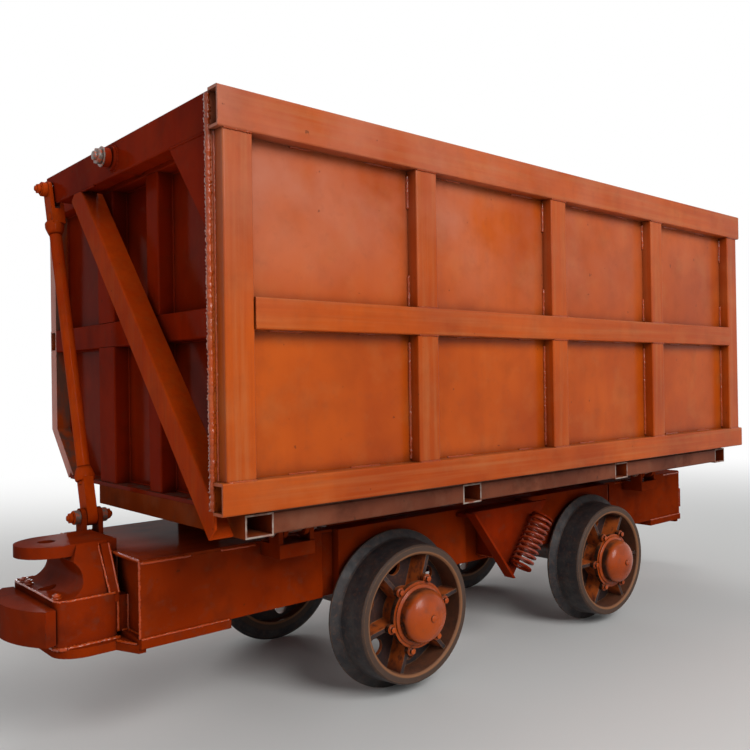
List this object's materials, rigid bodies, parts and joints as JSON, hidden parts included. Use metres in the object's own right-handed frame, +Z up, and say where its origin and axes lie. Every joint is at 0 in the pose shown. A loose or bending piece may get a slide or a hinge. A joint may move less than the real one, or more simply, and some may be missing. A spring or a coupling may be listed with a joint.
{
  "type": "side dump ore cart",
  "caption": "Side dump ore cart for narrow gauge rails: a plated box tilts on low side hinges while linked arms swing its long side door open.",
  "frame": {"origin": "midway between the two axles on the track's centre line, level with the lowest point of the wheel flanges", "axes": "+X along the track toward the rear coupler, -Y toward the side door that dumps, +Z up"},
  "size_m": [3.146, 1.465, 1.704],
  "materials": {
    "orange_enamel": "gloss orange enamel on rolled steel",
    "chassis_steel": "worn orange-brown enamel on rolled steel",
    "cast_steel": "painted cast steel, chipped at the edges",
    "wheel_steel": "dark cast steel with rust at the tread",
    "pin_steel": "dull turned steel",
    "spring_steel": "dirty spring steel"
  },
  "bodies": {
    "chassis": {"side_beams": "chassis_steel", "deck_plates": "chassis_steel", "end_plates": "chassis_steel", "foot_plates": "chassis_steel", "cross_members": "chassis_steel", "pedestals": "chassis_steel", "coupler_heads": "cast_steel", "buffer_plates": "cast_steel", "hinge_cradles": "chassis_steel", "hinge_pins": "pin_steel", "rest_pads": "chassis_steel", "side_bracket": "chassis_steel", "coil_spring": "spring_steel", "rod_ears": "chassis_steel", "rod_foot_pins": "pin_steel"},
    "wheelset_front": {"axle_front": "wheel_steel", "wheel_front_near": "wheel_steel", "wheel_front_far": "wheel_steel", "hub_caps_front": "orange_enamel"},
    "wheelset_rear": {"axle_rear": "wheel_steel", "wheel_rear_near": "wheel_steel", "wheel_rear_far": "wheel_steel", "hub_caps_rear": "orange_enamel"},
    "box": {"floor_plate": "orange_enamel", "end_walls": "orange_enamel", "far_wall": "orange_enamel", "far_wall_rails": "orange_enamel", "far_wall_posts": "orange_enamel", "end_wall_posts": "orange_enamel", "end_wall_rails": "orange_enamel", "under_tubes": "orange_enamel", "floor_sills": "orange_enamel", "box_hinge_lugs": "orange_enamel", "arm_pivots": "pin_steel", "roller_bracket": "orange_enamel"},
    "roller": {"unloading_roller": "wheel_steel"},
    "door": {"door_plate": "orange_enamel", "door_rails": "orange_enamel", "door_posts": "orange_enamel", "door_arm_bars": "orange_enamel", "door_arm_braces": "orange_enamel", "door_arm_gussets": "orange_enamel"},
    "rod_front": {"pull_rod_front": "orange_enamel"},
    "rod_rear": {"pull_rod_rear": "orange_enamel"}
  },
  "joints": [
    {"name": "axle_roll_front", "type": "hinge", "parent": "chassis", "child": "wheelset_front", "pos_m": [-0.515, 0, 0.253], "axis": [0, 1, 0], "continuous": true},
    {"name": "axle_roll_rear", "type": "hinge", "parent": "chassis", "child": "wheelset_rear", "pos_m": [0.515, 0, 0.253], "axis": [0, 1, 0], "continuous": true},
    {"name": "box_tilt", "type": "hinge", "parent": "chassis", "child": "box", "pos_m": [0, -0.375, 0.57], "axis": [1, 0, 0], "range_deg": [0, 40]},
    {"name": "door_swing", "type": "hinge", "parent": "box", "child": "door", "pos_m": [0, -0.015, 1.654], "axis": [-1, 0, 0], "range_deg": [0, 43.1]},
    {"name": "roller_spin", "type": "hinge", "parent": "box", "child": "roller", "pos_m": [0, 0.654, 0.545], "axis": [0, 1, 0], "continuous": true},
    {"name": "rod_swing_front", "type": "hinge", "parent": "chassis", "child": "rod_front", "pos_m": [-1.268, 0.2, 0.586], "axis": [1, 0, 0], "range_deg": [0, 41.1]},
    {"name": "rod_swing_rear", "type": "hinge", "parent": "chassis", "child": "rod_rear", "pos_m": [1.268, 0.2, 0.586], "axis": [1, 0, 0], "range_deg": [0, 41.1]}
  ],
  "couplings": [
    {"joint": "door_swing", "follows": "box_tilt", "ratio": 1.077},
    {"joint": "rod_swing_front", "follows": "box_tilt", "ratio": 1.026},
    {"joint": "rod_swing_rear", "follows": "box_tilt", "ratio": 1.026}
  ]
}
